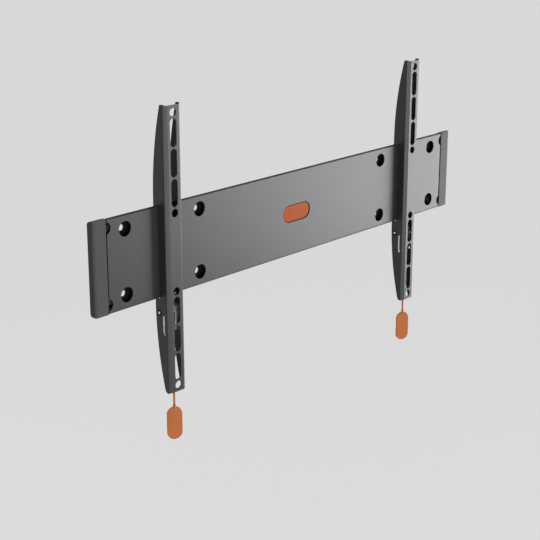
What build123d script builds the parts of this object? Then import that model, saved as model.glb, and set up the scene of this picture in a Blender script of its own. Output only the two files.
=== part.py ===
from build123d import *
import math
import os

# A flat wall bracket: a folded wall plate carries two upright arms, which hook over its top
# edge, slide along it and lock under its bottom edge with sprung latches on pull cords.
# Millimetres. +X runs along the wall plate, +Z is up, the front faces -Y and the wall is y = 0.
# A depth is measured from the front of an arm towards the wall.

# Wall plate: one sheet, hemmed along both long edges and stepped back to two wall lips
plate_length = 763.0
plate_height = 136.0
plate_depth = 10.5
plate_sheet = 2.0
plate_bend = 1.9
hem_gap = 0.8
hem_height = 7.0
lip_height = 31.0
plate_end_round = 1.5

# Wall screws: a screw hole in a lip, and a wider hole in front of it for the screw and driver
screw_edge_inset = 20.5
outer_screw_inset = 31.5
inner_screws = 420.0
screw_hole = 9.0
access_hole = 21.5
hole_edge = 0.5

# Centre badge: a bare moulding pressed into a window from behind
badge_length = 60.0
badge_height = 25.6
badge_gap = 1.0
badge_recess = 0.8
badge_rim = 3.0
badge_rim_thickness = 1.5
badge_edge = 0.5

# End caps: mouldings that plug into the ends of the wall plate, which has notches to prise them out
cap_length = 23.5
cap_gap = 2.0
cap_round = 4.5
cap_back_round = 5.7
cap_corner = 2.0
cap_wall = 2.2
plug_length = 15.5
plug_height = 18.0
plug_clearance = 0.2
notch_edge_inset = 13.5
notch_radius = 9.0
notch_offset = 2.6
notch_margin = 0.6

# Arms: channels with flat facets along their corners and tapered flanges
arm_spacing = 548.0
arm_standoff = 28.5
arm_width = 32.0
arm_sheet = 2.0
arm_facet = 4.0
arm_bend = 1.6
arm_end_length = 10.0
wall_gap = 1.2
flange_end_depth = 10.0
flange_margin = 7.0
flange_tip = 1.2
flange_corner = 2.0
flange_lower_corner = 6.0

# Seat of an arm on the wall plate
plate_clearance = 0.3
hook_gap = 1.0
lower_notch = 1.2
seat_corner = 1.0

# Holes in the face of an arm, with slots spread evenly between each middle and end hole
arm_hole = 11.5
end_hole_spacing = 400.0
middle_hole_spacing = 115.0
slot_count = 3
slot_web = 2.9

# Latch: a bent sheet that rides in slots in the flanges and drops clear of the plate when pulled
latch_sheet = 2.5
latch_bend = 2.0
latch_overlap = 3.0
latch_release = 1.0
latch_clearance = 0.5
latch_depth = 10.5
shelf_drop = 14.75
nose_width = 14.0
nose_bevel = 4.0
body_gap = 3.2
ear_height = 25.0
ear_drop = 11.25
ear_proud = 0.4
ear_clearance = 0.3
tongue_width = 3.4
tongue_length = 6.5
latch_corner = 1.0
latch_rail = 4.3
window_drop = 8.25
window_corner = 2.0
hook_relief_width = 4.0

# Latch pin: it crosses the arm in two bushes and holds the top of the spring
pin_diameter = 4.0
pin_proud = 0.3
pin_inset = 7.0
pin_room = 0.5
pin_groove_depth = 0.3
pin_clearance = 0.05
bush_wall = 2.65
bush_clearance = 0.05
bush_collar = 1.05
bush_collar_thickness = 1.0

# Latch spring: an extension spring with a hook on the pin and a loop through the latch
spring_wire = 1.2
spring_turns = 8
spring_leg = 2.4
leg_lap = 0.5
hook_tuck = 0.06
hook_clearance = 0.2
seat_gap = 0.05
spring_hole = 2.4
spring_bridge = 2.8
spring_hole_margin = 0.8

# Pull cord, the ferrule that joins it to the latch's tongue, and the tag at its lower end
cord_diameter = 3.2
ferrule_wall = 0.75
ferrule_height = 12.0
ferrule_grip = 5.5
ferrule_gap = 0.25
ferrule_clearance = 0.05
ferrule_edge = 0.6
tag_width = 23.0
tag_length = 51.5
tag_thickness = 3.0
tag_edge = 1.0
tag_hang = 28.0
tag_turn = -30.0
neck_wall = 0.6
neck_height = 3.0
neck_root = 4.0

# How far a cutting shape runs past the face that it cuts
cut_margin = 1.0

# Places that follow from the sizes
plate_top = plate_height / 2
plate_end = plate_length / 2
front_line = -(plate_depth - plate_sheet / 2)
front_back = -(plate_depth - plate_sheet)
hem_line = front_line + plate_sheet + hem_gap
hem_front = front_back + hem_gap
hem_back = hem_front + plate_sheet
hem_bend_share = 0.48
hem_bend = hem_bend_share * (plate_sheet + hem_gap)
shelf_line = plate_top - hem_height - plate_sheet / 2
lip_end = plate_top - hem_height - lip_height
front_cut_end = front_back + hem_gap / 2
screw_level = plate_top - screw_edge_inset
outer_screws = plate_length - 2 * outer_screw_inset
notch_level = plate_top - notch_edge_inset
notch_half = math.sqrt(notch_radius**2 - notch_offset**2)

arm_front = -arm_standoff
arm_length = end_hole_spacing + 2 * arm_end_length
arm_tip = arm_length / 2 + flange_tip
flange_depth = arm_standoff - wall_gap
flange_inside = arm_width / 2 - arm_sheet
seat_front = arm_standoff - plate_depth - plate_clearance
hook_front = arm_standoff + hem_back + plate_clearance
slot_span = (end_hole_spacing - middle_hole_spacing) / 2 - arm_hole - slot_web
slot_pitch = slot_span / slot_count
slot_length = slot_pitch - slot_web
first_slot = middle_hole_spacing / 2 + arm_hole / 2 + slot_web + slot_length / 2

latch_travel = latch_overlap + latch_release
shelf_level = -plate_top - shelf_drop
ear_top = shelf_level - ear_drop
ear_bottom = ear_top - ear_height
ear_reach = arm_width / 2 + ear_proud
tongue_bottom = ear_bottom - tongue_length
nose_depth = arm_standoff + hem_back + latch_clearance + latch_sheet / 2
nose_tip = -plate_top + latch_overlap
body_width = 2 * (flange_inside - body_gap)
window_width = body_width - 2 * latch_rail
hole_level = ear_bottom + spring_hole_margin + spring_hole / 2
window_top = shelf_level - window_drop
window_bottom = hole_level + spring_hole / 2 + spring_bridge

pin_radius = pin_diameter / 2
pin_depth = flange_depth - pin_inset
pin_level = shelf_level - latch_sheet / 2 - latch_travel - pin_room - pin_radius
groove_radius = pin_radius - pin_groove_depth
bush_radius = pin_radius + pin_clearance + bush_wall
loop_inside = pin_radius + hook_clearance
loop_radius = loop_inside + spring_wire / 2
coil_radius = loop_radius + hook_tuck

socket_width = tongue_width + 2 * ferrule_clearance
socket_depth = latch_sheet + 2 * ferrule_clearance
ferrule_bore = cord_diameter / 2 + ferrule_clearance
ferrule_radius = math.hypot(socket_width, socket_depth) / 2 + ferrule_wall
ferrule_top = ear_bottom - latch_corner - ferrule_gap
ferrule_bottom = ferrule_top - ferrule_height
tag_top = -arm_length / 2 - tag_hang
cord_top = ferrule_bottom + ferrule_grip - ferrule_clearance
cord_bottom = tag_top + neck_height

arms = {"left": -arm_spacing / 2, "right": arm_spacing / 2}


def at_depth(depth):
    """Y of a depth measured from the front of an arm."""
    return arm_front + depth


def folded_sheet(corners, bends, sheet):
    """Section of a folded sheet, from the corners and bend radii of its middle line."""
    corners = [Vector(*corner) for corner in corners]
    runs = [(end - start).normalized() for start, end in zip(corners, corners[1:])]
    normals = [Vector(-run.Y, run.X) for run in runs]
    turns = [math.copysign(1, before.cross(after).Z) for before, after in zip(runs, runs[1:])]
    sides = []
    for half in (sheet / 2, -sheet / 2):
        side = [corners[0] + normals[0] * half]
        for corner, before, after in zip(corners[1:-1], normals, normals[1:]):
            side.append(corner + (before + after) * (half / (1 + before.dot(after))))
        side.append(corners[-1] + normals[-1] * half)
        radii = [bend - half * turn for bend, turn in zip(bends, turns)]
        sides.append(FilletPolyline(*side, radius=radii))
    ends = [Line(sides[0] @ end, sides[1] @ end) for end in (0, 1)]
    return make_face(sides[0].edges() + sides[1].edges() + ends)


def across(section, half_width):
    """Solid of a section drawn in Y and Z, run the same way to both sides along X."""
    return extrude(Plane.YZ * section, amount=half_width, both=True)


def from_front(outline, front, back):
    """Solid of an outline drawn in X and Z, between two values of Y."""
    return extrude(Plane.XZ.offset(-back) * outline, amount=back - front)


def between(x_range, y_range, z_range):
    """Box between two values on each axis."""
    spans = [high - low for low, high in (x_range, y_range, z_range)]
    middle = [(high + low) / 2 for low, high in (x_range, y_range, z_range)]
    return Pos(*middle) * Box(*spans)


def round_hole(diameter, x, z, front, back):
    """Round cutter along Y."""
    return from_front(Pos(x, z) * Circle(diameter / 2), front, back)


def rounded_holes(sheet):
    """Sheet with the front edges of the holes in its front face rounded."""
    front = sheet.faces().sort_by(Axis.Y)[0]
    edges = [edge for hole in front.inner_wires() for edge in hole.edges()]
    return fillet(edges, hole_edge)


def screw_places():
    """X and Z of the eight wall screws."""
    columns = [side * spacing / 2 for spacing in (outer_screws, inner_screws) for side in (-1, 1)]
    return [(x, z) for x in columns for z in (-screw_level, screw_level)]


def slot_places():
    """Z of the slots in an arm."""
    levels = [first_slot + index * slot_pitch for index in range(slot_count)]
    return [side * level for side in (-1, 1) for level in levels]


def make_wall_plate():
    """Folded plate with its holes, badge window and end notches."""
    upper = [
        (front_line, plate_top - plate_sheet / 2),
        (hem_line, plate_top - plate_sheet / 2),
        (hem_line, shelf_line),
        (-plate_sheet / 2, shelf_line),
        (-plate_sheet / 2, lip_end),
    ]
    lower = [(y, -z) for y, z in reversed(upper)]
    bends = [plate_bend] * 2 + [hem_bend] * 4 + [plate_bend] * 2
    plate = across(folded_sheet(lower + upper, bends, plate_sheet), plate_end)

    front = -plate_depth - cut_margin
    for x, z in screw_places():
        plate -= round_hole(access_hole, x, z, front, front_cut_end)
        plate -= round_hole(screw_hole, x, z, front_cut_end, cut_margin)
    window = SlotOverall(badge_length + 2 * badge_gap, badge_height + 2 * badge_gap)
    plate -= from_front(window, front, front_cut_end)
    plate = rounded_holes(plate)
    for side in (-1, 1):
        for z in (-notch_level, notch_level):
            x = side * (plate_end + notch_offset)
            plate -= round_hole(2 * notch_radius, x, z, front, front_cut_end)

    round_x = (plate_end - plate_end_round, plate_end)
    round_y = (-plate_depth, plate_end_round - plate_depth)
    corner = between(round_x, round_y, (-plate_top, plate_top))
    corner -= Pos(round_x[0], round_y[1], 0) * Cylinder(plate_end_round, plate_height)
    return plate - corner - mirror(corner, about=Plane.YZ)


def make_badge():
    """Bare obround badge, with a rim that bears on the back of the plate's front."""
    face = SlotOverall(badge_length, badge_height)
    rim = SlotOverall(badge_length + 2 * badge_rim, badge_height + 2 * badge_rim)
    badge_front = -plate_depth + badge_recess
    badge = from_front(face, badge_front, front_back)
    badge = fillet(badge.faces().sort_by(Axis.Y)[0].edges(), badge_edge)
    return badge + from_front(rim, front_back, front_back + badge_rim_thickness)


def make_end_cap():
    """Right end cap: a hollow block of the plate's outline, a tray behind the seam and two plugs."""
    start = plate_end + cap_gap
    end = start + cap_length
    front = -plate_depth
    top_view = Pos((start + end) / 2, front / 2) * Rectangle(cap_length, plate_depth)
    outer_corner = top_view.vertices().sort_by_distance((end, front, 0))[0]
    top_view = fillet(outer_corner, cap_round)
    block = extrude(top_view, amount=plate_top, both=True)
    front_view = Pos((start + end) / 2, 0) * Rectangle(cap_length, plate_height)
    front_view = fillet(front_view.vertices().group_by(Axis.X)[-1], cap_corner)
    block &= from_front(front_view, front, 0)
    side_view = Pos(front / 2, 0) * Rectangle(plate_depth, plate_height)
    side_view = fillet(side_view.vertices().group_by(Axis.X)[-1], cap_back_round)
    block &= across(side_view, end)
    core_back = -plate_sheet - plug_clearance
    core_x = (start - cut_margin, end - cap_wall)
    block -= between(core_x, (front + cap_wall, core_back), (-lip_end, lip_end))

    plug_front = front_back + plug_clearance
    plug_top = notch_level - notch_half - notch_margin
    plug_x = (start - plug_length, start + cap_wall)
    tray_half = shelf_line - plate_sheet / 2 - plate_bend
    block += between(plug_x, (core_back - cap_wall, core_back), (-tray_half, tray_half))
    for side in (-1, 1):
        plug_z = sorted((side * plug_top, side * (plug_top - plug_height)))
        block += between(plug_x, (plug_front, core_back), plug_z)
    return block


def make_arm():
    """Arm at x = 0: a channel trimmed to its side view, with its seat, holes and slots."""
    flange_line = arm_width / 2 - arm_sheet / 2
    face_line = at_depth(arm_sheet / 2)
    half = [
        (flange_line - arm_facet, face_line),
        (flange_line, face_line + arm_facet),
        (flange_line, at_depth(flange_depth)),
    ]
    channel = folded_sheet([(-x, y) for x, y in reversed(half)] + half, [arm_bend] * 4, arm_sheet)
    arm = extrude(channel, amount=arm_tip, both=True)

    back = at_depth(flange_depth)
    end_back = at_depth(flange_end_depth)
    bow = plate_top + flange_margin
    outline = [
        Line((arm_front, -arm_tip), (arm_front, arm_tip)),
        Line((arm_front, arm_tip), (end_back, arm_tip)),
        TangentArc((back, bow), (end_back, arm_tip), tangent=(0, 1)),
        Line((back, bow), (back, -bow)),
        TangentArc((back, -bow), (end_back, -arm_tip), tangent=(0, -1)),
        Line((end_back, -arm_tip), (arm_front, -arm_tip)),
    ]
    side_view = make_face(outline)
    upper_corner = side_view.vertices().sort_by_distance((end_back, arm_tip, 0))[0]
    side_view = fillet(upper_corner, flange_corner)
    lower_corner = side_view.vertices().sort_by_distance((end_back, -arm_tip, 0))[0]
    side_view = fillet(lower_corner, flange_lower_corner)

    past = at_depth(flange_depth) + cut_margin
    hook_bottom = plate_top - hem_height + hook_gap
    seat_top = plate_top + plate_clearance
    seat_bottom = -plate_top - lower_notch
    seat = make_face(
        FilletPolyline(
            (past, hook_bottom),
            (at_depth(hook_front), hook_bottom),
            (at_depth(hook_front), seat_top),
            (at_depth(seat_front), seat_top),
            (at_depth(seat_front), seat_bottom),
            (past, seat_bottom),
            radius=seat_corner,
        ).edges()
        + [Line((past, seat_bottom), (past, hook_bottom))]
    )
    arm &= across(side_view - seat, arm_width)

    face_cut = (arm_front - cut_margin, at_depth(arm_sheet) + cut_margin)
    trim_y = (arm_front - cut_margin, at_depth(arm_facet + 2 * arm_sheet))
    for trim_z in ((arm_length / 2, arm_tip + cut_margin), (-arm_tip - cut_margin, -arm_length / 2)):
        arm -= between((-flange_inside, flange_inside), trim_y, trim_z)
    for spacing in (end_hole_spacing, middle_hole_spacing):
        for z in (-spacing / 2, spacing / 2):
            arm -= round_hole(arm_hole, 0, z, *face_cut)
    for z in slot_places():
        slot = Pos(0, z) * SlotOverall(slot_length, arm_hole, rotation=90)
        arm -= from_front(slot, *face_cut)
    arm = rounded_holes(arm)

    bush_seat = Pos(at_depth(pin_depth), pin_level) * Circle(bush_radius + bush_clearance)
    arm -= across(bush_seat, arm_width)
    ear_slot_width = latch_sheet + 2 * ear_clearance
    ear_slot_height = ear_height + latch_travel + ear_slot_width
    ear_slot_level = (ear_top + ear_bottom - latch_travel) / 2
    ear_slot = SlotOverall(ear_slot_height, ear_slot_width, rotation=90)
    arm -= across(Pos(at_depth(latch_depth), ear_slot_level) * ear_slot, arm_width)
    return arm


def make_latch():
    """Latch at x = 0: a nose behind the plate, a shelf, a slotted plate with ears, and a tongue."""
    side_view = folded_sheet(
        [
            (at_depth(nose_depth), nose_tip),
            (at_depth(nose_depth), shelf_level),
            (at_depth(latch_depth), shelf_level),
            (at_depth(latch_depth), tongue_bottom),
        ],
        [latch_bend] * 2,
        latch_sheet,
    )
    nose_back = at_depth(nose_depth) + latch_sheet / 2
    bevel = make_face(
        Polyline(
            (nose_back - latch_sheet, nose_tip + cut_margin),
            (nose_back - latch_sheet, nose_tip),
            (nose_back, nose_tip - nose_bevel),
            (nose_back + cut_margin, nose_tip - nose_bevel),
            (nose_back + cut_margin, nose_tip + cut_margin),
            close=True,
        ).edges()
    )
    latch = across(side_view - bevel, ear_reach)

    shelf_top = shelf_level + latch_sheet / 2
    widths = (
        (nose_width, shelf_top, nose_tip),
        (body_width, ear_bottom, shelf_top + latch_bend),
        (2 * ear_reach, ear_bottom, ear_top),
        (tongue_width, tongue_bottom, ear_bottom),
    )
    front_view = Sketch()
    for width, low, high in widths:
        front_view += Pos(0, (low + high) / 2) * Rectangle(width, high - low)
    front_view = fillet(front_view.vertices(), latch_corner)
    latch &= from_front(front_view, arm_front, 0)

    plate_cut = [at_depth(latch_depth) + side * (latch_sheet / 2 + cut_margin) for side in (-1, 1)]
    window_height = window_top - window_bottom
    window = Pos(0, (window_top + window_bottom) / 2)
    window *= RectangleRounded(window_width, window_height, window_corner)
    latch -= from_front(window, *plate_cut)
    latch -= round_hole(spring_hole, 0, hole_level, *plate_cut)

    hook_reach = loop_radius + spring_wire
    relief_y = [at_depth(pin_depth) + side * hook_reach for side in (-1, 1)]
    relief_half = hook_relief_width / 2
    relief_z = [shelf_level + side * latch_sheet for side in (-1, 1)]
    latch -= between((-relief_half, relief_half), relief_y, relief_z)
    return latch


def make_pin():
    """Cross pin at x = 0, waisted where the spring hooks on."""
    place = Pos(at_depth(pin_depth), pin_level)
    pin = across(place * Circle(pin_radius), arm_width / 2 + pin_proud)
    waist = place * (Circle(pin_diameter) - Circle(groove_radius))
    return pin - across(waist, spring_wire)


def make_bushes():
    """Two flanged bushes at x = 0, one in each flange of the arm."""
    place = Pos(at_depth(pin_depth), pin_level)
    bore = Circle(pin_radius + pin_clearance)
    sleeve = place * (Circle(bush_radius) - bore)
    collar = place * (Circle(bush_radius + bush_collar) - bore)
    inner = flange_inside - bush_collar_thickness
    bush = extrude(Plane.YZ.offset(inner) * sleeve, amount=arm_width / 2 - inner)
    bush += extrude(Plane.YZ.offset(inner) * collar, amount=bush_collar_thickness)
    return Compound(children=[bush, mirror(bush, about=Plane.YZ)])


def wire_along(path, is_frenet=False):
    """Round spring wire along a path."""
    start = Plane(origin=path @ 0, z_dir=path % 0)
    return sweep(start * Circle(spring_wire / 2), path=path, is_frenet=is_frenet)


def make_spring():
    """Extension spring at x = 0: one wire from the loop in the latch to the hook on the pin."""
    bridge_reach = math.sqrt(loop_inside**2 - (latch_sheet / 2) ** 2)
    loop_level = window_bottom - spring_bridge + bridge_reach - seat_gap
    loop_centre = Vector(0, at_depth(latch_depth), loop_level)
    pin_centre = Vector(0, at_depth(pin_depth), pin_level)
    axis = (pin_centre - loop_centre).normalized()
    hook_centre = pin_centre - axis * (loop_inside - groove_radius - seat_gap)
    length = (hook_centre - loop_centre).length
    coil_height = length - 2 * spring_leg

    bend = Plane.XZ * CenterArc((0, 0), loop_radius, 90, 270)
    leg = Line((loop_radius, 0, 0), (loop_radius, 0, spring_leg + leg_lap))
    loop = wire_along(Wire([bend.edge(), leg.edge()]))
    hook = Pos(0, 0, length) * Rot(180, 0, 0) * loop
    pitch = coil_height / spring_turns
    coil = wire_along(Helix(pitch, coil_height, coil_radius, center=(0, 0, spring_leg)), is_frenet=True)
    upright = Plane(origin=loop_centre, x_dir=axis.cross(Vector(1, 0, 0)), z_dir=axis)
    return upright * (coil + loop + hook)


def make_cord():
    """Straight cord at x = 0, from the ferrule down to the tag's neck."""
    cord = extrude(Circle(cord_diameter / 2), amount=cord_top - cord_bottom)
    return Pos(0, at_depth(latch_depth), cord_bottom) * cord


def make_ferrule():
    """Round crimp at x = 0, with a socket for the latch's tongue above and for the cord below."""
    ferrule = extrude(Circle(ferrule_radius), amount=ferrule_height)
    ends = ferrule.faces().sort_by(Axis.Z)
    ferrule = fillet(ends[0].edges() + ends[-1].edges(), ferrule_edge)
    ferrule -= extrude(Circle(ferrule_bore), amount=ferrule_grip)
    socket_floor = tongue_bottom - ferrule_clearance - ferrule_bottom
    socket = extrude(Rectangle(socket_width, socket_depth), amount=ferrule_height - socket_floor)
    ferrule -= Pos(0, 0, socket_floor) * socket
    return Pos(0, at_depth(latch_depth), ferrule_bottom) * ferrule


def make_tag():
    """Bare obround pull tag at x = 0, turned about the cord, with a neck for the cord's end."""
    face = SlotOverall(tag_length, tag_width, rotation=90)
    tag = extrude(Plane.XZ * face, amount=tag_thickness / 2, both=True)
    rims = tag.faces().sort_by(Axis.Y)
    tag = fillet(rims[0].edges() + rims[-1].edges(), tag_edge)
    neck = extrude(Circle(cord_diameter / 2 + neck_wall), amount=neck_height + neck_root)
    tag += Pos(0, 0, tag_length / 2 - neck_root) * neck
    place = Pos(0, at_depth(latch_depth), tag_top - tag_length / 2)
    return place * Rot(0, 0, tag_turn) * tag


right_cap = make_end_cap()
nodes = {
    "wall_plate": make_wall_plate(),
    "centre_badge": make_badge(),
    "end_cap_left": mirror(right_cap, about=Plane.YZ),
    "end_cap_right": right_cap,
}
arm_pieces = {
    "arm": make_arm(),
    "latch": make_latch(),
    "latch_pin": make_pin(),
    "pin_bushes": make_bushes(),
    "latch_spring": make_spring(),
    "pull_cord": make_cord(),
    "cord_ferrule": make_ferrule(),
    "pull_tag": make_tag(),
}
for side, arm_x in arms.items():
    for name, piece in arm_pieces.items():
        nodes[f"{name}_{side}"] = Pos(arm_x, 0, 0) * piece

os.makedirs("parts", exist_ok=True)
for name, piece in nodes.items():
    export_step(piece, f"parts/{name}.step")

cord_length = cord_top - cord_bottom
cord_section = math.pi * cord_diameter**2 / 4
print(f"pull cord: one straight run of {cord_length:.1f} mm, no bends")
cord_volume = arm_pieces["pull_cord"].volume
print(f"pull cord volume {cord_volume:.1f}, section times length {cord_section * cord_length:.1f}")
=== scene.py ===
import logging
import math
from abc import ABC, abstractmethod
from dataclasses import dataclass, field
from enum import Enum

import bmesh
import bpy
from mathutils import Matrix, Vector


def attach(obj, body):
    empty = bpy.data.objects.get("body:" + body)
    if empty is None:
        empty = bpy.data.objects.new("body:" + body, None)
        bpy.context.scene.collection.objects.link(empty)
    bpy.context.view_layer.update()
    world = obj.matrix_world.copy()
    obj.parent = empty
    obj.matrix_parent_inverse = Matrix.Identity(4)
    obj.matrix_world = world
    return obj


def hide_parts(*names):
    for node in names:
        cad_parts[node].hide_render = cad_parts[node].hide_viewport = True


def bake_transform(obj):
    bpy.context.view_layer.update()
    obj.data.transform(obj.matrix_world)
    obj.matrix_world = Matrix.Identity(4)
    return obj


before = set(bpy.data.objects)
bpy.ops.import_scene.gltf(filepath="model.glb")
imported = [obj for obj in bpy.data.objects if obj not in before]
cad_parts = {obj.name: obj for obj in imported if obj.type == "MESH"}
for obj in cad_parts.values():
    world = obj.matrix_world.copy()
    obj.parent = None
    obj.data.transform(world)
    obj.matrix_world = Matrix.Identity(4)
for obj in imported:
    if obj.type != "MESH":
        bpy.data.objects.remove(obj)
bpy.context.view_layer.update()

LOG = logging.getLogger("wall_bracket")

Colour = tuple[float, float, float]
Point = tuple[float, float, float]
Range = tuple[float, float]
Socket = bpy.types.NodeSocket

WHITE = (1.0, 1.0, 1.0)
# How far each arm stands to the side of the wall plate's middle, in metres.
ARM_REACH = 0.274
# Most of a noise pattern's values lie in this range.
NOISE_RANGE = (0.3, 0.7)
# A mix node's colour sockets share their names with its number sockets, so they go by index.
MIX_COLOURS = (6, 7)
MIX_RESULT = 2


class Side(Enum):
    """The two arms of the bracket, with the sign of their place along the wall plate."""

    LEFT = -1
    RIGHT = 1

    @property
    def label(self) -> str:
        """The side's name in the names of nodes and bodies."""
        return self.name.lower()


class Slot(Enum):
    """The part's named finishes."""

    POWDER_COAT = "powder_coat"
    CAP_PLASTIC = "cap_plastic"
    ORANGE_PLASTIC = "orange_plastic"
    ORANGE_CORD = "orange_cord"
    ZINC_STEEL = "zinc_steel"
    BLACK_PLASTIC = "black_plastic"


class Fold(Enum):
    """Where shade is painted on the powder coat: the pockets behind the plate's front, or an
    arm's channel.
    """

    POCKET = "pocket"
    CHANNEL = "channel"


class Winding(Enum):
    """The two ways that a braid's yarns wind down a cord, seen from above."""

    CLOCKWISE = -1
    ANTICLOCKWISE = 1


@dataclass(frozen=True)
class Pattern:
    """A noise pattern: rough size of a grain in metres, finer layers, and stretch by axis."""

    size: float
    detail: float = 2.0
    stretch: Point = (1.0, 1.0, 1.0)


@dataclass(frozen=True)
class Relief:
    """How a pattern is raised: its height in metres, and the share of it that shows."""

    depth: float
    strength: float


class NodeGraph:
    """The nodes of one material, with short calls that add, set and link them."""

    def __init__(self, material: bpy.types.Material) -> None:
        """Clear the material and give it a surface shader.

        Args:
            material: The material to fill.
        """
        material.use_nodes = True
        self.tree = material.node_tree
        self.tree.nodes.clear()
        self.shader = self.add("ShaderNodeBsdfPrincipled")
        self.output = self.add("ShaderNodeOutputMaterial")
        self.link(self.shader.outputs["BSDF"], self.output.inputs["Surface"])
        self.place = self.add("ShaderNodeTexCoord").outputs["Object"]

    def add(self, kind: str, **settings: object) -> bpy.types.Node:
        """Add a node and set its properties.

        Args:
            kind: The node's type name.
            settings: Properties of the node and their values.

        Returns:
            The new node.
        """
        node = self.tree.nodes.new(kind)
        for name, value in settings.items():
            setattr(node, name, value)
        return node

    def link(self, output: Socket, socket: Socket) -> None:
        """Join an output to an input."""
        self.tree.links.new(output, socket)

    def feed(self, name: str, output: Socket) -> None:
        """Join an output to one of the shader's inputs by its name."""
        self.link(output, self.shader.inputs[name])

    def fix(self, name: str, value: float | tuple[float, ...]) -> None:
        """Set one of the shader's inputs to a value that is the same all over."""
        self.shader.inputs[name].default_value = value

    def noise(self, pattern: Pattern) -> Socket:
        """Add a noise pattern on the piece's own place.

        Args:
            pattern: The size, layers and stretch of its grain.

        Returns:
            The pattern's value, from 0 to 1.
        """
        scale = [1 / (pattern.size * part) for part in pattern.stretch]
        mapping = self.add("ShaderNodeMapping")
        mapping.inputs["Scale"].default_value = scale
        self.link(self.place, mapping.inputs["Vector"])
        noise = self.add("ShaderNodeTexNoise")
        noise.inputs["Scale"].default_value = 1.0
        noise.inputs["Detail"].default_value = pattern.detail
        self.link(mapping.outputs["Vector"], noise.inputs["Vector"])
        return noise.outputs["Fac"]

    def spread(
        self, value: Socket, low: float, high: float, source: Range = NOISE_RANGE
    ) -> Socket:
        """Map a value onto a range.

        Args:
            value: The value to map.
            low: Result at the start of the source range.
            high: Result at the end of the source range.
            source: Range of the value.

        Returns:
            The mapped value.
        """
        node = self.add("ShaderNodeMapRange")
        self.link(value, node.inputs["Value"])
        node.inputs["From Min"].default_value = source[0]
        node.inputs["From Max"].default_value = source[1]
        node.inputs["To Min"].default_value = low
        node.inputs["To Max"].default_value = high
        return node.outputs["Result"]

    def blend(self, amount: Socket, first: Colour | Socket, second: Colour | Socket) -> Socket:
        """Blend two colours.

        Args:
            amount: Share of the second colour.
            first: A colour, or an output that gives one.
            second: A colour, or an output that gives one.

        Returns:
            The blended colour.
        """
        node = self.add("ShaderNodeMix", data_type="RGBA")
        self.link(amount, node.inputs["Factor"])
        for index, colour in zip(MIX_COLOURS, (first, second)):
            if isinstance(colour, tuple):
                node.inputs[index].default_value = (*colour, 1.0)
            else:
                self.link(colour, node.inputs[index])
        return node.outputs[MIX_RESULT]

    def bump(self, height: Socket, relief: Relief, normal: Socket | None = None) -> Socket:
        """Raise a surface by a pattern.

        Args:
            height: The pattern.
            relief: How high it is raised.
            normal: Surface direction to start from, if not the mesh's own.

        Returns:
            The new surface direction.
        """
        node = self.add("ShaderNodeBump")
        node.inputs["Strength"].default_value = relief.strength
        node.inputs["Distance"].default_value = relief.depth
        self.link(height, node.inputs["Height"])
        if normal is not None:
            self.link(normal, node.inputs["Normal"])
        return node.outputs["Normal"]

    def maths(self, operation: str, first: Socket, second: float | Socket = 0.0) -> Socket:
        """Work out one value from one or two others.

        Args:
            operation: Name of the operation.
            first: The first value.
            second: The second value, a number or an output.

        Returns:
            The result.
        """
        node = self.add("ShaderNodeMath", operation=operation)
        self.link(first, node.inputs[0])
        if isinstance(second, float):
            node.inputs[1].default_value = second
        else:
            self.link(second, node.inputs[1])
        return node.outputs["Value"]


def shade(colour: Colour, amount: float) -> Colour:
    """Make a colour lighter or darker by a factor."""
    red, green, blue = (min(1.0, part * amount) for part in colour)
    return red, green, blue


@dataclass(frozen=True)
class Finish(ABC):
    """A finish of the part, made as one material."""

    slot: Slot
    use: str
    colour: Colour
    roughness: float
    roughness_spread: Range

    @property
    def name(self) -> str:
        """The material's name, apart from those that the loaded model brings."""
        return f"{self.use}_finish"

    @abstractmethod
    def draw(self, graph: NodeGraph) -> None:
        """Put the finish's nodes into a material.

        Args:
            graph: The material to put the nodes in.
        """

    def tint(self, graph: NodeGraph, value: Socket, shades: Range) -> Socket:
        """Run the finish's colour from one shade to another by a pattern.

        Args:
            graph: The material to put the nodes in.
            value: The pattern.
            shades: Factors on the colour at the pattern's low and high values.

        Returns:
            The colour.
        """
        low, high = (shade(self.colour, amount) for amount in shades)
        return graph.blend(graph.spread(value, 0.0, 1.0), low, high)

    def roughen(self, graph: NodeGraph, value: Socket) -> None:
        """Vary the finish's roughness by a pattern.

        Args:
            graph: The material to put the nodes in.
            value: The pattern.
        """
        low, high = (self.roughness + amount for amount in self.roughness_spread)
        graph.feed("Roughness", graph.spread(value, low, high))

    def material(self) -> bpy.types.Material:
        """Give the finish's material, made on its first use.

        Returns:
            The material.
        """
        made = bpy.data.materials.get(self.name)
        if made is None:
            made = bpy.data.materials.new(self.name)
            self.draw(NodeGraph(made))
        return made

    def put_on(self, piece: bpy.types.Object) -> None:
        """Dress a piece in this finish.

        Args:
            piece: The piece to dress.
        """
        piece.data.materials.clear()
        piece.data.materials.append(self.material())


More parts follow.
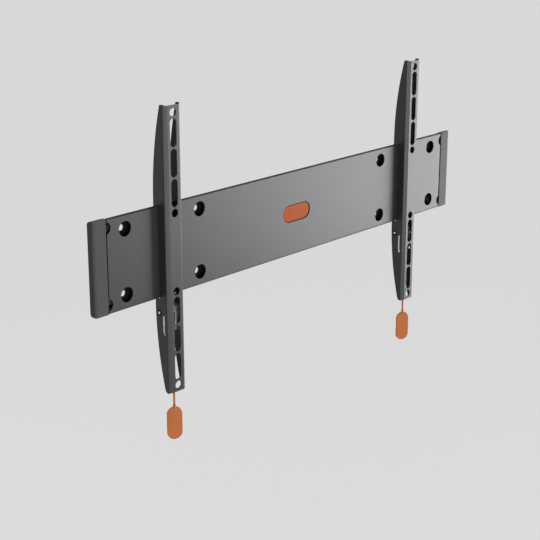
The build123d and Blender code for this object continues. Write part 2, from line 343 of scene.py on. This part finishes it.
@dataclass(frozen=True)
class PowderCoat(Finish):
    """Baked satin powder: fine peel, faint cloudiness and specks, with painted shade and dimmed
    reflections in the pockets and channels.
    """

    roughness: float = 0.36
    roughness_spread: Range = (-0.04, 0.05)
    gloss: float = 0.4
    refraction: float = 1.5
    cloud: Pattern = Pattern(0.09, detail=3.0)
    cloud_shades: Range = (0.93, 1.07)
    grain: Pattern = Pattern(0.00028, detail=1.0)
    grain_relief: Relief = Relief(0.00002, 0.4)
    peel: Pattern = Pattern(0.0011)
    peel_relief: Relief = Relief(0.00005, 0.4)
    speck_range: Range = (0.55, 0.75)
    speck_share: float = 0.25
    speck_shade: float = 1.5
    # How dark the painted shade makes the coat, and how much it dims reflections, in the pockets
    # and channels.
    painted_shade_factor: float = 0.4
    painted_shade_gloss: Colour = (0.12, 0.12, 0.12)
    fold: Fold = Fold.POCKET
    # Pockets with painted shade: their depth along Y, and their level above and below the plate's
    # middle.
    pocket_depth: Range = (-0.0088, -0.0018)
    pocket_level: Range = (0.0295, 0.0605)
    # Arm channel with painted shade: half its width, its start behind the face, and its facets'
    # sloping line.
    channel_half: float = 0.0145
    channel_front: float = -0.0268
    facet_line: float = -0.0385

    def inside(self, graph: NodeGraph) -> Socket:
        """Find the surfaces in the pockets and channels, where shade is painted.

        Args:
            graph: The material to put the nodes in.

        Returns:
            1 where shade is painted and 0 elsewhere.
        """
        parts = graph.add("ShaderNodeSeparateXYZ")
        graph.link(graph.place, parts.inputs["Vector"])
        depth = parts.outputs["Y"]
        if self.fold is Fold.POCKET:
            level = graph.maths("ABSOLUTE", parts.outputs["Z"])
            tests = [
                graph.maths("GREATER_THAN", depth, self.pocket_depth[0]),
                graph.maths("LESS_THAN", depth, self.pocket_depth[1]),
                graph.maths("GREATER_THAN", level, self.pocket_level[0]),
                graph.maths("LESS_THAN", level, self.pocket_level[1]),
            ]
        else:
            aside = graph.maths("ABSOLUTE", parts.outputs["X"])
            aside = graph.maths("ABSOLUTE", graph.maths("SUBTRACT", aside, ARM_REACH))
            slant = graph.maths("SUBTRACT", depth, aside)
            tests = [
                graph.maths("GREATER_THAN", depth, self.channel_front),
                graph.maths("LESS_THAN", aside, self.channel_half),
                graph.maths("GREATER_THAN", slant, self.facet_line),
            ]
        found = tests[0]
        for test in tests[1:]:
            found = graph.maths("MULTIPLY", found, test)
        return found

    def draw(self, graph: NodeGraph) -> None:
        """Put the finish's nodes into a material.

        Args:
            graph: The material to put the nodes in.
        """
        grain = graph.noise(self.grain)
        inside = self.inside(graph)
        coat = self.tint(graph, graph.noise(self.cloud), self.cloud_shades)
        specks = graph.spread(grain, 0.0, self.speck_share, self.speck_range)
        coat = graph.blend(specks, coat, shade(self.colour, self.speck_shade))
        # Painted shade: the colour is darkened inside the pockets and channels.
        coat = graph.blend(inside, coat, shade(self.colour, self.painted_shade_factor))
        graph.feed("Base Color", coat)
        # Painted shade: reflections are dimmed there too.
        graph.feed("Specular Tint", graph.blend(inside, WHITE, self.painted_shade_gloss))
        self.roughen(graph, grain)
        raised = graph.bump(graph.noise(self.peel), self.peel_relief)
        graph.feed("Normal", graph.bump(grain, self.grain_relief, raised))
        graph.fix("IOR", self.refraction)
        graph.fix("Specular IOR Level", self.gloss)


@dataclass(frozen=True)
class MouldedPlastic(Finish):
    """Injection-moulded plastic: spark-eroded grain and faint flow marks."""

    roughness: float = 0.6
    roughness_spread: Range = (-0.05, 0.06)
    gloss: float = 0.12
    flow: Pattern = Pattern(0.012, stretch=(1.0, 1.0, 2.5))
    flow_shades: Range = (0.92, 1.06)
    grain: Pattern = Pattern(0.0004)
    grain_relief: Relief = Relief(0.00002, 0.4)

    def draw(self, graph: NodeGraph) -> None:
        """Put the finish's nodes into a material.

        Args:
            graph: The material to put the nodes in.
        """
        grain = graph.noise(self.grain)
        graph.feed("Base Color", self.tint(graph, graph.noise(self.flow), self.flow_shades))
        self.roughen(graph, grain)
        graph.feed("Normal", graph.bump(grain, self.grain_relief))
        graph.fix("Specular IOR Level", self.gloss)


@dataclass(frozen=True)
class ZincPlate(Finish):
    """Bright zinc on cold-rolled steel: rolling lines and cloudy passivation."""

    roughness: float = 0.36
    roughness_spread: Range = (-0.06, 0.1)
    metallic: float = 0.85
    cloud: Pattern = Pattern(0.006, detail=3.0)
    cloud_shades: Range = (1.0, 0.74)
    rolled: Pattern = Pattern(0.0002, stretch=(1.0, 1.0, 14.0))
    rolled_relief: Relief = Relief(0.00002, 0.5)

    def draw(self, graph: NodeGraph) -> None:
        """Put the finish's nodes into a material.

        Args:
            graph: The material to put the nodes in.
        """
        cloud = graph.noise(self.cloud)
        graph.feed("Base Color", self.tint(graph, cloud, self.cloud_shades))
        self.roughen(graph, cloud)
        graph.feed("Normal", graph.bump(graph.noise(self.rolled), self.rolled_relief))
        graph.fix("Metallic", self.metallic)


@dataclass(frozen=True)
class BraidedYarn(Finish):
    """Dyed polyester yarn: fine fibres, uneven dye, painted shade between fibres and a soft
    sheen.
    """

    roughness: float = 0.75
    roughness_spread: Range = (-0.1, 0.1)
    dye: Pattern = Pattern(0.0025)
    dye_shades: Range = (0.85, 1.1)
    fibre: Pattern = Pattern(0.00009, stretch=(1.0, 1.0, 6.0))
    fibre_share: float = 0.5
    gap_shade_factor: float = 0.6
    fibre_relief: Relief = Relief(0.00004, 0.6)
    sheen: float = 0.25
    sheen_roughness: float = 0.4

    def draw(self, graph: NodeGraph) -> None:
        """Put the finish's nodes into a material.

        Args:
            graph: The material to put the nodes in.
        """
        fibre = graph.noise(self.fibre)
        yarn = self.tint(graph, graph.noise(self.dye), self.dye_shades)
        # Painted shade: darker streaks along the fibre pattern stand for shade in the gaps
        # between fibres.
        painted_gap_shade = graph.spread(fibre, 0.0, self.fibre_share)
        yarn = graph.blend(painted_gap_shade, yarn, shade(self.colour, self.gap_shade_factor))
        graph.feed("Base Color", yarn)
        self.roughen(graph, fibre)
        graph.feed("Normal", graph.bump(fibre, self.fibre_relief))
        graph.fix("Sheen Weight", self.sheen)
        graph.fix("Sheen Roughness", self.sheen_roughness)


ANTHRACITE = (0.021, 0.0215, 0.0226)
# The plate's pockets and the arms' channels get painted shade.
PLATE_COAT = PowderCoat(Slot.POWDER_COAT, "plate", ANTHRACITE, fold=Fold.POCKET)
ARM_COAT = PowderCoat(Slot.POWDER_COAT, "arm", ANTHRACITE, fold=Fold.CHANNEL)
CAP_GREY = MouldedPlastic(
    Slot.CAP_PLASTIC, "cap", (0.040, 0.041, 0.043), roughness=0.58, gloss=0.34
)
BADGE_ORANGE = MouldedPlastic(Slot.ORANGE_PLASTIC, "badge", (0.39, 0.089, 0.0255))
# The tags' orange is lighter than the badge's, though both are one plastic: partly a yellower
# tone of their own, partly painted light.
LIT_TAG_ORANGE = MouldedPlastic(Slot.ORANGE_PLASTIC, "tag", (0.54, 0.170, 0.056))
YARN = BraidedYarn(Slot.ORANGE_CORD, "cord", (0.62, 0.18, 0.045))
ZINC = ZincPlate(Slot.ZINC_STEEL, "zinc", (0.76, 0.77, 0.78))
# Painted shade: the bushes are coloured near-black to give the dark ring round each pin end.
PAINTED_SHADE_BLACK = MouldedPlastic(
    Slot.BLACK_PLASTIC, "bush", (0.004, 0.004, 0.004), roughness=0.8, gloss=0.1
)


def add_object(name: str, data: bpy.types.ID) -> bpy.types.Object:
    """Add an object to the scene, at the origin.

    Args:
        name: The object's name.
        data: The mesh, curve, light or camera that it holds.

    Returns:
        The new object.
    """
    made = bpy.data.objects.new(name, data)
    bpy.context.scene.collection.objects.link(made)
    return made


def dress_nodes(finishes: dict[str, Finish]) -> list[bpy.types.Object]:
    """Give nodes of the CAD model their finishes.

    Args:
        finishes: The nodes' names and finishes.

    Returns:
        The dressed pieces, in the same order.
    """
    pieces = []
    for name, finish in finishes.items():
        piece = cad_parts[name]
        finish.put_on(piece)
        pieces.append(piece)
    return pieces


@dataclass
class WallPlate:
    """The wall plate with its badge and end caps, all as the CAD model has them."""

    finishes: dict[str, Finish] = field(
        default_factory=lambda: {
            "wall_plate": PLATE_COAT,
            "centre_badge": BADGE_ORANGE,
            "end_cap_left": CAP_GREY,
            "end_cap_right": CAP_GREY,
        }
    )

    def dress(self) -> list[bpy.types.Object]:
        """Give each node its finish, and return the dressed pieces."""
        return dress_nodes(self.finishes)


@dataclass
class Arm:
    """One upright arm with its latch, pin, bushes and spring."""

    side: Side
    finishes: dict[str, Finish] = field(
        default_factory=lambda: {
            "arm": ARM_COAT,
            "latch": ZINC,
            "latch_pin": ZINC,
            "pin_bushes": PAINTED_SHADE_BLACK,
        }
    )
    hook_height: float = 0.0058
    weld_distance: float = 0.000001
    sharp_angle: float = 40.0

    def dress(self) -> list[bpy.types.Object]:
        """Give each node of this side its finish, and return the dressed pieces."""
        label = self.side.label
        return dress_nodes({f"{name}_{label}": finish for name, finish in self.finishes.items()})

    def build_spring(self) -> bpy.types.Object:
        """Make the spring in its CAD shape, welded into one wire.

        Returns:
            The spring.
        """
        label = self.side.label
        node = f"latch_spring_{label}"
        wire = bmesh.new()
        wire.from_mesh(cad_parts[node].data)
        bmesh.ops.remove_doubles(wire, verts=wire.verts, dist=self.weld_distance)
        mesh = bpy.data.meshes.new(f"stretching_spring_{label}")
        wire.to_mesh(mesh)
        wire.free()
        # The loose triangles' own normals don't fit the welded wire, so it is shaded afresh.
        normals = mesh.attributes.get("custom_normal")
        if normals is not None:
            mesh.attributes.remove(normals)
        mesh.shade_smooth()
        mesh.set_sharp_from_angle(angle=math.radians(self.sharp_angle))
        spring = add_object(mesh.name, mesh)
        ZINC.put_on(spring)
        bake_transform(spring)
        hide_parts(node)
        return spring


@dataclass
class PullCord:
    """The cord that drops a latch, with its ferrule and tag."""

    side: Side
    front: float = -0.018
    levels: tuple[float, ...] = (-0.1268, -0.146, -0.2158, -0.235)
    diameter: float = 0.0032
    route_order: int = 3
    route_steps: int = 48
    core_radius: float = 0.00128
    core_roundness: int = 3
    yarn_radius: float = 0.00033
    yarn_roundness: int = 1
    yarns: int = 8
    lay_length: float = 0.0095
    weave_height: float = 0.00013

    @property
    def route(self) -> list[Vector]:
        """The cord's route from the ferrule down to the tag."""
        return [Vector((self.side.value * ARM_REACH, self.front, level)) for level in self.levels]

    def new_curve(self, part: str) -> bpy.types.Curve:
        """Start a curve for a part of the cord.

        Args:
            part: The part's name.

        Returns:
            An empty curve.
        """
        curve = bpy.data.curves.new(f"pull_cord_{part}_{self.side.label}", "CURVE")
        curve.dimensions = "3D"
        curve.use_fill_caps = True
        return curve

    @staticmethod
    def add_spline(curve: bpy.types.Curve, kind: str, places: list[Vector]) -> bpy.types.Spline:
        """Add a spline to a curve.

        Args:
            curve: The curve.
            kind: The spline's type name.
            places: Its points.

        Returns:
            The spline.
        """
        spline = curve.splines.new(kind)
        spline.points.add(len(places) - 1)
        for point, place in zip(spline.points, places):
            point.co = (*place, 1.0)
        return spline

    def build_core(self) -> bpy.types.Object:
        """Make the cord's core on its route, with no thickness yet.

        Returns:
            The core, a curve of one spline.
        """
        curve = self.new_curve("core")
        curve.resolution_u = self.route_steps
        spline = self.add_spline(curve, "NURBS", self.route)
        # These hold only when they are set after the points are added.
        spline.order_u = self.route_order
        spline.use_endpoint_u = True
        return add_object(curve.name, curve)

    @staticmethod
    def line_of(core: bpy.types.Object) -> list[Vector]:
        """Read the cord's line from its spline.

        Args:
            core: The core, before it has a thickness.

        Returns:
            Points along the line.
        """
        mesh = bpy.data.meshes.new_from_object(core)
        line = [vertex.co.copy() for vertex in mesh.vertices]
        bpy.data.meshes.remove(mesh)
        return line

    def yarn_offset(self, travelled: float, winding: Winding, start: int) -> Vector:
        """Work out where a yarn runs beside the cord's line.

        Args:
            travelled: Distance along the cord, in metres.
            winding: The way that the yarn winds.
            start: The yarn's number among those that wind its way.

        Returns:
            The offset from the line.
        """
        turns = travelled / self.lay_length
        angle = math.tau * (winding.value * turns + start / self.yarns)
        wave = math.cos(math.tau * turns * self.yarns + math.pi * start)
        middle = self.diameter / 2 - self.yarn_radius - self.weave_height / 2
        radius = middle + winding.value * wave * self.weave_height
        return Vector((math.cos(angle), math.sin(angle), 0.0)) * radius

    def build_braid(self, line: list[Vector]) -> bpy.types.Object:
        """Make the braided cover, of yarns that wind both ways round the core.

        Args:
            line: Points along the cord.

        Returns:
            The cover, a curve of one spline per yarn.
        """
        curve = self.new_curve("braid")
        curve.bevel_depth = self.yarn_radius
        curve.bevel_resolution = self.yarn_roundness
        travelled = [0.0]
        for before, after in zip(line, line[1:]):
            travelled.append(travelled[-1] + (after - before).length)
        for winding in Winding:
            for start in range(self.yarns):
                places = [
                    place + self.yarn_offset(distance, winding, start)
                    for place, distance in zip(line, travelled)
                ]
                self.add_spline(curve, "POLY", places)
        return add_object(curve.name, curve)

    def build(self) -> list[bpy.types.Object]:
        """Make the cord, dress it and its pieces, and hang it on the latch.

        Returns:
            The pieces of the cord.
        """
        label = self.side.label
        core = self.build_core()
        braid = self.build_braid(self.line_of(core))
        core.data.bevel_depth = self.core_radius
        core.data.bevel_resolution = self.core_roundness
        for piece in (core, braid):
            YARN.put_on(piece)
            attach(piece, f"{label}_latch")
        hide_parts(f"pull_cord_{label}")
        ferrule, tag = dress_nodes(
            {f"cord_ferrule_{label}": ZINC, f"pull_tag_{label}": LIT_TAG_ORANGE}
        )
        return [core, braid, ferrule, tag]


@dataclass(frozen=True)
class Softbox:
    """A large soft lamp, with its azimuth in degrees from the bracket's front to its right."""

    name: str
    azimuth: float
    height: float
    distance: float
    width: float
    tall: float
    power: float

    def build(self) -> None:
        """Hang the lamp and turn it towards the origin."""
        light = bpy.data.lights.new(self.name, "AREA")
        light.shape = "RECTANGLE"
        light.size = self.width
        light.size_y = self.tall
        light.energy = self.power
        lamp = add_object(self.name, light)
        angle = math.radians(self.azimuth)
        lamp.location = (
            self.distance * math.sin(angle),
            -self.distance * math.cos(angle),
            self.height,
        )
        lamp.rotation_euler = (-lamp.location).to_track_quat("-Z", "Y").to_euler()
        lamp.visible_camera = False


STRIP_SOFTBOX = Softbox(
    "strip_softbox", azimuth=-41.0, height=-0.45, distance=2.6, width=0.8, tall=1.1, power=25.0
)
FRONT_SOFTBOX = Softbox(
    "front_softbox", azimuth=-4.0, height=-0.35, distance=2.6, width=1.3, tall=1.1, power=22.0
)
SIDE_SOFTBOX = Softbox(
    "side_softbox", azimuth=58.6, height=-0.40, distance=2.4, width=1.9, tall=1.04, power=47.0
)
BACK_SOFTBOX = Softbox(
    "back_softbox", azimuth=180.0, height=0.5, distance=2.4, width=1.6, tall=1.4, power=28.0
)


@dataclass
class Studio:
    """Pale floor, soft light and the camera."""

    floor_level: float = -1.2
    floor_size: float = 30.0
    floor_colour: Colour = (0.3, 0.3, 0.3)
    floor_roughness: float = 0.9
    # The glow that the floor shows to the eye, and its share of what the eye sees there.
    floor_glow: float = 0.80
    floor_share: float = 0.85
    # How bright the surroundings look, and how bright they are as a lamp.
    surround_look: float = 0.70
    surround_light: float = 0.1
    # The camera's turn to the right and its tilt down are in radians.
    camera_place: Point = (-1.3939, -1.2563, 0.5200)
    camera_turn: float = 0.8190
    camera_tilt: float = 0.2746
    camera_range: float = 100.0
    focal_pixels: float = 1236.5
    image_pixels: float = 540.0
    sensor: float = 36.0
    shift: float = -0.1
    lamps: tuple[Softbox, ...] = (STRIP_SOFTBOX, FRONT_SOFTBOX, SIDE_SOFTBOX, BACK_SOFTBOX)

    @staticmethod
    def pale_to_the_eye(tree: bpy.types.NodeTree) -> Socket:
        """Tell the rays that look or mirror from those that light.

        Args:
            tree: The tree to put the nodes in.

        Returns:
            1 for a ray that looks, mirrors or passes through glass, and 0 for one that lights.
        """
        path = tree.nodes.new("ShaderNodeLightPath")
        found = path.outputs["Is Camera Ray"]
        for ray in ("Is Glossy Ray", "Is Transmission Ray"):
            either = tree.nodes.new("ShaderNodeMath")
            either.operation = "MAXIMUM"
            tree.links.new(found, either.inputs[0])
            tree.links.new(path.outputs[ray], either.inputs[1])
            found = either.outputs["Value"]
        return found

    def build_world(self) -> None:
        """Fill the surroundings with an even, weak light that looks pale."""
        world = bpy.data.worlds.new("studio")
        world.use_nodes = True
        tree = world.node_tree
        background = tree.nodes["Background"]
        background.inputs["Color"].default_value = (*WHITE, 1.0)
        strength = tree.nodes.new("ShaderNodeMapRange")
        strength.inputs["To Min"].default_value = self.surround_light
        strength.inputs["To Max"].default_value = self.surround_look
        tree.links.new(self.pale_to_the_eye(tree), strength.inputs["Value"])
        tree.links.new(strength.outputs["Result"], background.inputs["Strength"])
        bpy.context.scene.world = world

    def floor_material(self) -> bpy.types.Material:
        """Make a floor that looks pale, and still shows the bracket's shadow.

        Returns:
            The material.
        """
        material = bpy.data.materials.new("pale_floor")
        graph = NodeGraph(material)
        graph.fix("Base Color", (*self.floor_colour, 1.0))
        graph.fix("Roughness", self.floor_roughness)
        glow = graph.add("ShaderNodeEmission")
        glow.inputs["Strength"].default_value = self.floor_glow
        seen = graph.maths("MULTIPLY", self.pale_to_the_eye(graph.tree), self.floor_share)
        mix = graph.add("ShaderNodeMixShader")
        share, plain, glowing = mix.inputs
        graph.link(seen, share)
        graph.link(graph.shader.outputs["BSDF"], plain)
        graph.link(glow.outputs["Emission"], glowing)
        graph.link(mix.outputs["Shader"], graph.output.inputs["Surface"])
        return material

    def build_floor(self) -> None:
        """Lay the floor."""
        sheet = bmesh.new()
        level = Matrix.Translation((0.0, 0.0, self.floor_level))
        bmesh.ops.create_grid(
            sheet, x_segments=1, y_segments=1, size=self.floor_size / 2, matrix=level
        )
        mesh = bpy.data.meshes.new("floor")
        sheet.to_mesh(mesh)
        sheet.free()
        mesh.materials.append(self.floor_material())
        add_object("floor", mesh)

    def build_camera(self) -> None:
        """Set up the camera at the photograph's angle."""
        lens = bpy.data.cameras.new("camera")
        lens.sensor_width = self.sensor
        lens.lens = self.focal_pixels / self.image_pixels * self.sensor
        lens.shift_y = self.shift
        lens.clip_end = self.camera_range
        camera = add_object("camera", lens)
        camera.location = self.camera_place
        camera.rotation_euler = (math.pi / 2 - self.camera_tilt, 0.0, -self.camera_turn)
        bpy.context.scene.camera = camera

    def build(self) -> None:
        """Set up the floor, the light and the camera."""
        self.build_world()
        self.build_floor()
        for lamp in self.lamps:
            lamp.build()
        self.build_camera()
        bpy.context.scene.view_settings.view_transform = "Standard"


def main() -> None:
    """Dress the bracket, hang its cords, light it and report each piece."""
    logging.basicConfig(level=logging.INFO, format="%(name)s: %(message)s")
    pieces = WallPlate().dress()
    for side in Side:
        arm = Arm(side)
        pieces += [*arm.dress(), arm.build_spring()]
        pieces += PullCord(side).build()
    Studio().build()
    for piece in pieces:
        LOG.info("%s in %s", piece.name, piece.data.materials[0].name)


if __name__ == "__main__":
    main()
